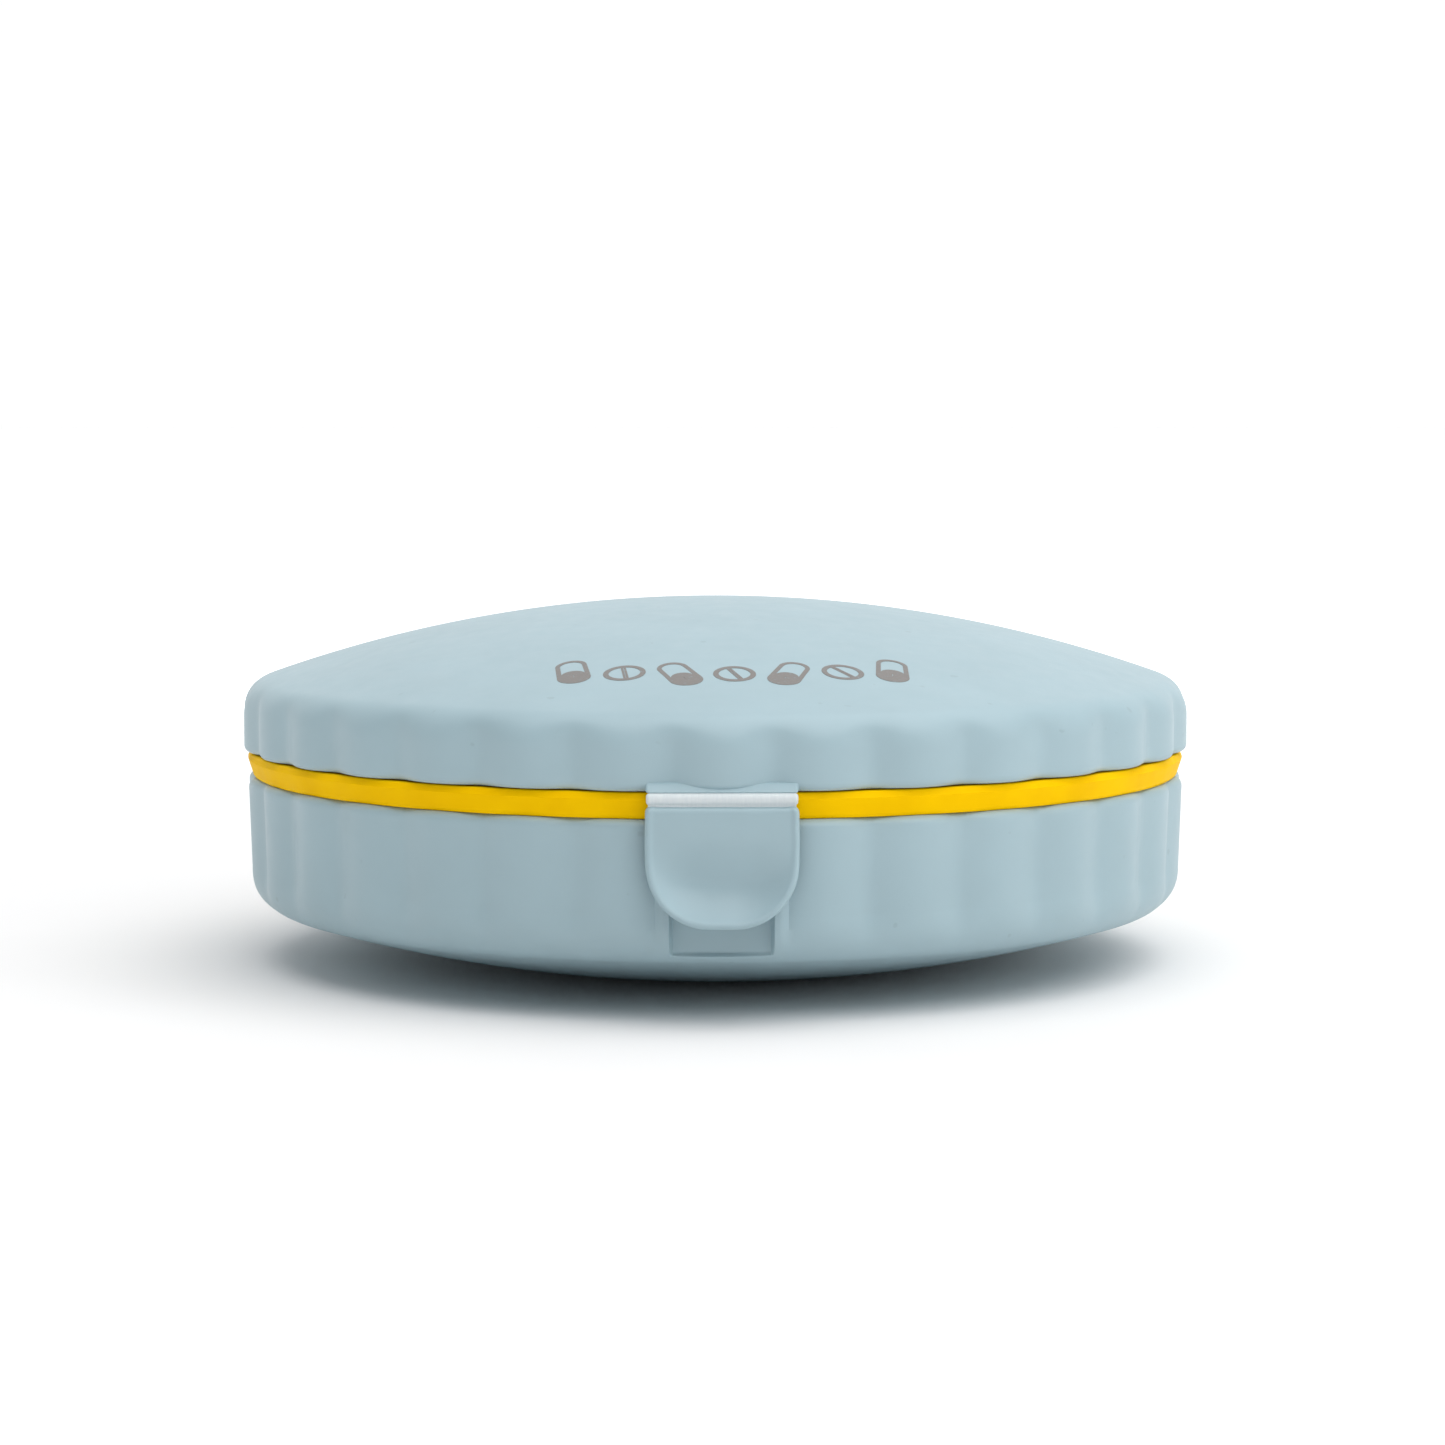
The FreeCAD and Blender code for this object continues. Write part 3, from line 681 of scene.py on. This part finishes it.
def flap():
    """Latch flap: a slightly raised rounded rim, a thumb hollow and a lip that stands out."""
    low, high = FLAP_LOW[2], FLAP_HIGH[2]
    half = LATCH_WIDTH / 2
    corner = 5.7
    front = 47.95
    back = 46.85
    lip = -FLAP_LOW[1]
    across, along = 72, 90
    lines = np.sin(np.linspace(-math.pi / 2, math.pi / 2, across + 1))
    lines = 0.55 * lines + 0.45 * np.linspace(-1, 1, across + 1)
    top_round = 0.6
    steps = (1 - np.cos(np.linspace(0, math.pi, along + 1))) / 2
    steps = 0.6 * steps + 0.4 * np.linspace(0, 1, along + 1)
    height = low + steps * (high - low)
    drop = np.clip(low + corner - height, 0, corner)
    width = half - corner + np.sqrt(np.maximum(corner ** 2 - drop ** 2, 0))
    shrink = np.clip(height - (high - top_round), 0, top_round)
    width = width - (top_round - np.sqrt(np.maximum(top_round ** 2 - shrink ** 2, 0)))
    width = width + 0.06 * np.exp(-((height - low - 7.6) / 2.0) ** 2)
    x = width[:, None] * lines[None]
    z = np.repeat(height[:, None], across + 1, axis=1)
    # distance from the flap's outline, near enough for its rounded edges
    side = np.maximum(width[:, None] - np.abs(x), 0)
    centre_x = np.clip(np.abs(x), half - corner, None) - (half - corner)
    centre_z = np.clip(low + corner - z, 0, None)
    from_corner = corner - np.hypot(centre_x, centre_z)
    below = z - low
    edge = np.where(centre_z > 0, np.minimum(from_corner, below + 0 * x), side)
    border = np.maximum(edge, 0)
    edge = np.minimum(border, high - z)
    # front: flat above, dished below, with the lip standing out round the foot
    rim_width, lip_out = 0.62, lip - front + 0.12
    nearness = np.clip(1 - np.maximum(edge - rim_width, 0) / 3.6, 0, 1) ** 1.9
    stand = lip_out * smooth_step(low + 7.6 - z, 0, 7.6) * nearness
    bowl = 0.92 * smooth_step(low + 8.4 - z, 0, 5.0) * (1 - nearness)
    rim = 0.14 * (1 - smooth_step(border, 0.35, 0.8))
    face = front + stand - bowl + rim
    round_front = 0.42
    inward = np.clip(round_front - edge, 0, round_front)
    face = face - (round_front - np.sqrt(np.maximum(round_front ** 2 - inward ** 2, 0)))
    round_top = 0.75
    inward = np.clip(round_top - (high - z), 0, round_top)
    face = face - 0.6 * (round_top - np.sqrt(np.maximum(round_top ** 2 - inward ** 2, 0)))
    # back: follows the front at the foot
    scoop = 5.6
    rear = back + lip_out * np.clip((low + scoop - z) / scoop, 0, 1) ** 1.6
    round_back = 0.2
    inward = np.clip(round_back - edge, 0, round_back)
    rear = rear + (round_back - np.sqrt(np.maximum(round_back ** 2 - inward ** 2, 0)))
    rear = np.minimum(rear, face - 0.3)
    rows, cols = x.shape
    front_points = np.stack([x, -face, z], axis=2).reshape(-1, 3)
    back_points = np.stack([x, -rear, z], axis=2).reshape(-1, 3)
    points = np.r_[front_points, back_points]
    offset = rows * cols
    faces = []
    for i in range(rows - 1):
        for j in range(cols - 1):
            a, b = i * cols + j, (i + 1) * cols + j
            faces.append((a, a + 1, b + 1, b))
            faces.append((offset + a, offset + b, offset + b + 1, offset + a + 1))
    loop = [j for j in range(cols)] + [i * cols + cols - 1 for i in range(1, rows)]
    loop += [(rows - 1) * cols + j for j in range(cols - 2, -1, -1)]
    loop += [i * cols for i in range(rows - 2, 0, -1)]
    for i, here in enumerate(loop):
        there = loop[(i + 1) % len(loop)]
        faces.append((here, offset + here, offset + there, there))
    make("flap", points, faces, "latch", SHELL, "latch_flap", sharp=50)


def hinge_film():
    """Thin web between the flap and the strip, inside the strip's outline."""
    front, back, bottom, top = -47.5, -47.2, 19.8, 20.15
    half = LATCH_WIDTH / 2 - 0.25
    outline = [(front, bottom), (front, top), (back, top), (back, bottom)]
    points, faces = prism(outline, -half, half, 0)
    make("hinge_film", points, faces, "latch", STRIP, sharp=30)


def flap_hook():
    """Hook behind the flap that catches under the rib."""
    root, tip, bottom, top, half = -47.55, -46.45, 10.8, 11.5, 3.8
    outline = [(tip, bottom + 0.2), (tip, top), (root, top), (root, bottom), (tip - 0.25, bottom)]
    points, faces = prism(outline, -half, half, 0.07, 2)
    make("flap_hook", points, faces, "latch", SHELL, "latch_flap", sharp=None)


# ---------------------------------------------------------------- inside

SECTORS = 6
TRAY_RADIUS = 43.4
TRAY_WALL = 1.0
CUP_RADIUS = 13.0
TRAY_TOP = TRAY_HIGH[2]
TRAY_UNDER = WALL + 0.05      # the tray's underside, inwards from the base's
FLOOR_INSET = TRAY_UNDER + TRAY_WALL
COMPARTMENT_CORNER = 2.2


def sector_outline(inset, turned):
    """One compartment's outline, moved inwards by inset, with its four corners eased."""
    corner = COMPARTMENT_CORNER
    inner, outer = CUP_RADIUS + inset, TRAY_RADIUS - TRAY_WALL - inset
    half = TRAY_WALL / 2 + inset
    half_angle = math.pi / SECTORS

    def limit(radius):
        return half_angle - math.asin(half / radius)

    def point(radius, angle):
        return np.array([radius * math.sin(angle + turned), -radius * math.cos(angle + turned)])

    def eased(before, tip, after):
        return [(1 - t) ** 2 * before + 2 * t * (1 - t) * tip + t * t * after
                for t in np.linspace(0, 1, 7)]

    def side(sign, first, last):
        return [point(r, sign * limit(r)) for r in np.linspace(first, last, 14)]

    def sweep(radius, first, last, count):
        return [point(radius, a) for a in np.linspace(first, last, count)]

    low_side = side(-1, inner + corner, outer - corner)
    far = sweep(outer, -limit(outer) + corner / outer, limit(outer) - corner / outer, 26)
    high_side = side(1, outer - corner, inner + corner)
    near = sweep(inner, limit(inner) - corner / inner, -limit(inner) + corner / inner, 12)
    tips = [point(outer, -limit(outer)), point(outer, limit(outer)),
            point(inner, limit(inner)), point(inner, -limit(inner))]
    parts = [low_side, far, high_side, near]
    loop = []
    for i, part in enumerate(parts):
        following = parts[(i + 1) % 4]
        loop.extend(part)
        loop.extend(eased(part[-1], tips[i], following[0])[1:-1])
    return np.array(loop)


def cup_outline(inset):
    angles = even(96)
    radius = CUP_RADIUS - TRAY_WALL - inset
    return np.c_[radius * np.sin(angles), -radius * np.cos(angles)]


def pocket_mesh(outline_at):
    """A compartment from its top edge down to its floor: rounded edge, wall, fillet and floor."""
    edge, fillet, draft = 0.35, 1.8, 0.15
    loops = []
    for angle in np.linspace(0, math.pi / 2, 5):
        flat = outline_at(-edge * (1 - math.sin(angle)))
        loops.append((flat, np.full(len(flat), TRAY_TOP - edge * (1 - math.cos(angle)))))
    for angle in np.linspace(0, math.pi / 2, 8):
        flat = outline_at(draft + fillet * (1 - math.cos(angle)))
        floor = np.maximum(bowl_height(np.hypot(*flat.T), FLOOR_INSET), FLOOR_INSET)
        loops.append((flat, floor + fillet * (1 - math.sin(angle))))
    flat = loops[-1][0]
    middle = flat.mean(0)
    for share in (0.8, 0.55, 0.3, 0.12):
        inner = middle + (flat - middle) * share
        floor = np.maximum(bowl_height(np.hypot(*inner.T), FLOOR_INSET), FLOOR_INSET)
        loops.append((inner, floor))
    around = len(flat)
    points = np.concatenate([np.c_[xy, z] for xy, z in loops])
    faces = rings_to_faces(len(loops), around, False)
    tip = max(float(bowl_height(np.hypot(*middle), FLOOR_INSET)), FLOOR_INSET)
    points = np.r_[points, [[*middle, tip]]]
    last = (len(loops) - 1) * around
    faces += [(len(points) - 1, last + i, last + (i + 1) % around) for i in range(around)]
    return points, faces, around


def tray():
    """Compartment tray: seven rounded pockets, a flat top between them and a smooth outside."""
    pockets = [pocket_mesh(cup_outline)]
    for i in range(SECTORS):
        turned = TAU * (i + 0.5) / SECTORS + math.pi / 2
        pockets.append(pocket_mesh(lambda inset, turned=turned: sector_outline(inset, turned)))
    under, edge = TRAY_UNDER, 0.35
    rise, touch = shoulder(TRAY_RADIUS, BASE_DOME - under, INNER_ROUND)
    foot_angle = math.degrees(math.asin(FOOT_RADIUS / (BASE_DOME - under)))
    profile = np.r_[
        arc((TRAY_RADIUS - edge, TRAY_TOP - edge), edge, 90, 0, 4),
        run((TRAY_RADIUS, TRAY_TOP - edge), (TRAY_RADIUS, BASE_CENTRE - rise), 3),
        arc((TRAY_RADIUS - INNER_ROUND, BASE_CENTRE - rise), INNER_ROUND, 0, -touch, 8)[1:],
        arc((0, BASE_CENTRE), BASE_DOME - under, -touch, -90 + foot_angle, 8)[1:],
    ]
    around = 256
    angles = even(around)
    outer = np.concatenate([
        np.c_[r * np.sin(angles), -r * np.cos(angles), np.full(around, z)] for r, z in profile])
    outer_faces = rings_to_faces(len(profile), around, False)
    outer = np.r_[outer, [[0, 0, under]]]
    last = (len(profile) - 1) * around
    outer_faces += [(len(outer) - 1, last + i, last + (i + 1) % around) for i in range(around)]
    work = bmesh.new()
    rims = []
    for points, faces, count in [*pockets, (outer, outer_faces, around)]:
        vertices = [work.verts.new(point) for point in points]
        for face in faces:
            work.faces.new([vertices[i] for i in face])
        rims += [work.edges.get((vertices[i], vertices[(i + 1) % count])) for i in range(count)]
    bmesh.ops.triangle_fill(work, edges=rims, use_beauty=True, use_dissolve=False)
    work.verts.index_update()
    points = [tuple(vertex.co) for vertex in work.verts]
    faces = [tuple(vertex.index for vertex in face.verts) for face in work.faces]
    work.free()
    make("tray", points, faces, "base", TRAY, "compartment_tray", sharp=35)


def liner():
    """Flat inner cover of the lid, with a shallow raised bead and a round edge."""
    low, thick, top = LINER_LOW[2], 1.0, LINER_HIGH[2]
    radius, edge = 42.4, 0.4
    ring_inner, ring_outer = 39.9, 40.95
    bead_radius, bead_half, bead_flatness = 36.0, 0.45, 0.7
    bead = arc((bead_radius, low), bead_half, 180, 0, 8)
    bead[:, 1] = low + (bead[:, 1] - low) * bead_flatness
    profile = np.r_[
        [[0, low]], [[10, low]], [[22, low]], [[35, low]],
        bead,
        run((36.6, low), (radius - edge, low), 2),
        arc((radius - edge, low + edge), edge, -90, 0, 4)[1:],
        [[radius, low + thick - 0.2]], [[radius - 0.2, low + thick]],
        [[ring_outer, low + thick]], [[ring_outer, top - 0.2]], [[ring_outer - 0.2, top]],
        [[ring_inner + 0.2, top]], [[ring_inner, top - 0.2]], [[ring_inner, low + thick]],
        [[0, low + thick]],
    ]
    points, faces = lathe(profile, even(256))
    make("liner", points, faces, "lid", TRAY, "lid_liner", sharp=40)


def pin():
    """Hinge pin with chamfered ends."""
    radius, chamfer = PIN_HIGH[2] - PIN[2], 0.15
    low, high = PIN_LOW[0], PIN_HIGH[0]
    profile = [(0, low), (radius - chamfer, low), (radius, low + chamfer),
               *[(radius, x) for x in np.linspace(low + 1, high - 1, 8)],
               (radius, high - chamfer), (radius - chamfer, high), (0, high)]
    points, faces = lathe(profile, even(40))
    points = np.array(points)
    points = np.c_[points[:, 2], PIN[1] + points[:, 0], PIN[2] + points[:, 1]]
    make("pin", points, faces, "base", STEEL, "hinge_pin", sharp=30)


# ---------------------------------------------------------------- printed pictograms

PRINT_RADIUS = 36.0           # from the lid's centre to the middle of the printed row
PRINT_SHIFT = 1.3
PRINT_THICK = 0.03


def on_dome(across, outward):
    """A point of the printed row on the lid: across to the right and outward from the centre."""
    radius = PRINT_RADIUS + outward
    angle = across / PRINT_RADIUS
    x, y = radius * math.sin(angle), -radius * math.cos(angle)
    return x, y, lid_dome_height(radius)


def printed(outer, inner):
    """A thin closed band of ink between two loops of (across, outward) points."""
    count = len(outer)
    points = []
    for loop, lift in ((outer, -0.02), (outer, PRINT_THICK), (inner, PRINT_THICK), (inner, -0.02)):
        for across, outward in loop:
            x, y, z = on_dome(across, outward)
            points.append((x, y, z + lift))
    return points, rings_to_faces(4, count, True)


def oval(middle, half_long, half_short, tilt, count=48):
    """A stadium about middle, its long axis turned by tilt degrees from the row's direction."""
    straight = half_long - half_short
    turn = math.radians(tilt)
    loop = []
    for angle in even(count) + TAU / count / 2:
        x = half_short * math.cos(angle) + math.copysign(straight, math.cos(angle))
        y = half_short * math.sin(angle)
        loop.append((middle[0] + x * math.cos(turn) - y * math.sin(turn),
                     middle[1] + x * math.sin(turn) + y * math.cos(turn)))
    return loop


def capsule_mark(middle, tilt):
    """Capsule outline with one half filled."""
    turn = math.radians(tilt)
    ring = printed(oval((middle, 0), 3.1, 1.5, tilt), oval((middle, 0), 2.65, 1.05, tilt))
    filled = (middle + 1.3 * math.cos(turn), 1.3 * math.sin(turn))
    fill = printed(oval(filled, 1.4, 1.1, tilt), oval(filled, 0.32, 0.02, tilt))
    return joined(ring, fill)


def tablet_mark(middle):
    """Round tablet outline with a score line across it."""
    ring = printed(oval((middle, 0), 1.95, 1.949, 0), oval((middle, 0), 1.45, 1.449, 0))
    line = printed(oval((middle, 0), 1.55, 0.24, 70), oval((middle, 0), 1.33, 0.02, 70))
    return joined(ring, line)


def pictograms():
    """Grey row of capsules and tablets on the front of the dome."""
    spacing, count = 5.05, 7
    marks = []
    for i in range(count):
        middle = PRINT_SHIFT + (i - count // 2) * spacing
        if i % 2 == 0:
            marks.append(capsule_mark(middle, 62 if i < count // 2 else 118))
        else:
            marks.append(tablet_mark(middle))
    points, faces = joined(*marks)
    make("lid_print", points, faces, "lid", INK, sharp=30)


# ---------------------------------------------------------------- stage

FLOOR_HALF = 4.0
# the floor's painted glow: where it starts, where it is full, and how strong
GLOW_START, GLOW_END, GLOW_STRENGTH = 0.10, 0.32, 0.5


def floor():
    """White paper floor with a painted glow: its emission brightens it away from the object so that it meets
    a white background.
    """
    mesh = bpy.data.meshes.new("floor")
    corners = [(-1, -1), (1, -1), (1, 1), (-1, 1)]
    mesh.from_pydata([(x * FLOOR_HALF, y * FLOOR_HALF, 0) for x, y in corners], [], [(0, 1, 2, 3)])
    material, tree, shader, vector = node_tree("floor_paper")
    paper = noise(tree, vector, 40.0, 2.0, 0.5)
    tint = mix_colour(tree, paper, (0.86, 0.86, 0.86), (0.90, 0.90, 0.90))
    tree.links.new(tint, shader.inputs["Base Color"])
    shader.inputs["Roughness"].default_value = 0.9
    place = tree.nodes.new("ShaderNodeTexCoord")
    distance = tree.nodes.new("ShaderNodeVectorMath")
    distance.operation = "LENGTH"
    tree.links.new(place.outputs["Object"], distance.inputs[0])
    # painted light: the floor glows more with distance from the object
    glow = remap(tree, distance.outputs["Value"], GLOW_START, GLOW_END, 0, GLOW_STRENGTH)
    shader.inputs["Emission Color"].default_value = (1, 1, 1, 1)
    tree.links.new(glow, shader.inputs["Emission Strength"])
    mesh.materials.append(material)
    piece = bpy.data.objects.new("floor", mesh)
    bpy.context.scene.collection.objects.link(piece)


def area_light(name, place, target, size, power):
    data = bpy.data.lights.new(name, "AREA")
    data.shape = "RECTANGLE"
    data.size, data.size_y = size
    data.energy = power
    lamp = bpy.data.objects.new(name, data)
    lamp.location = place
    lamp.rotation_euler = (Vector(target) - Vector(place)).to_track_quat("-Z", "Y").to_euler()
    bpy.context.scene.collection.objects.link(lamp)


FRONT_GLOW = (0.30, 0.30, 0.31)
REAR_GLOW = (1.01, 1.01, 1.01)


def studio():
    """Soft overhead light and a small fill, with the surroundings brighter behind the object."""
    world = bpy.data.worlds.new("studio")
    bpy.context.scene.world = world
    world.use_nodes = True
    tree = world.node_tree
    sky = tree.nodes["Background"]
    direction = tree.nodes.new("ShaderNodeTexCoord")
    split = tree.nodes.new("ShaderNodeSeparateXYZ")
    tree.links.new(direction.outputs["Generated"], split.inputs["Vector"])
    rearward = remap(tree, split.outputs["Y"], -0.3, 0.8, 0, 1)
    glow = mix_colour(tree, rearward, FRONT_GLOW, REAR_GLOW)
    tree.links.new(glow, sky.inputs["Color"])
    area_light("overhead", (0.24, -0.26, 0.86), (0.05, 0, 0), (1.3, 1.3), 9.6)
    area_light("right_fill", (0.8, -0.30, 0.25), (0, 0, 0.02), (0.4, 0.3), 0.8)
    bpy.context.scene.view_settings.view_transform = "Standard"


def camera():
    """Product view from just left of the front, a little above the lid."""
    distance, height, sideways = 0.3917, 0.0577, -0.0052
    place = Vector((sideways, -distance, height))
    data = bpy.data.cameras.new("camera")
    data.sensor_width = 36.0
    data.lens = 97.8
    view = bpy.data.objects.new("camera", data)
    view.location = place
    target = Vector((0.00075, 0, 0.0231))
    view.rotation_euler = (target - place).to_track_quat("-Z", "Y").to_euler()
    bpy.context.scene.collection.objects.link(view)
    bpy.context.scene.camera = view


camera()
lid()
lid_tab()
lid_knuckle()
base()
catch_rib()
base_brackets()
seal_ring()
hinge_strip()
flap()
hinge_film()
flap_hook()
tray()
liner()
pin()
pictograms()
floor()
studio()
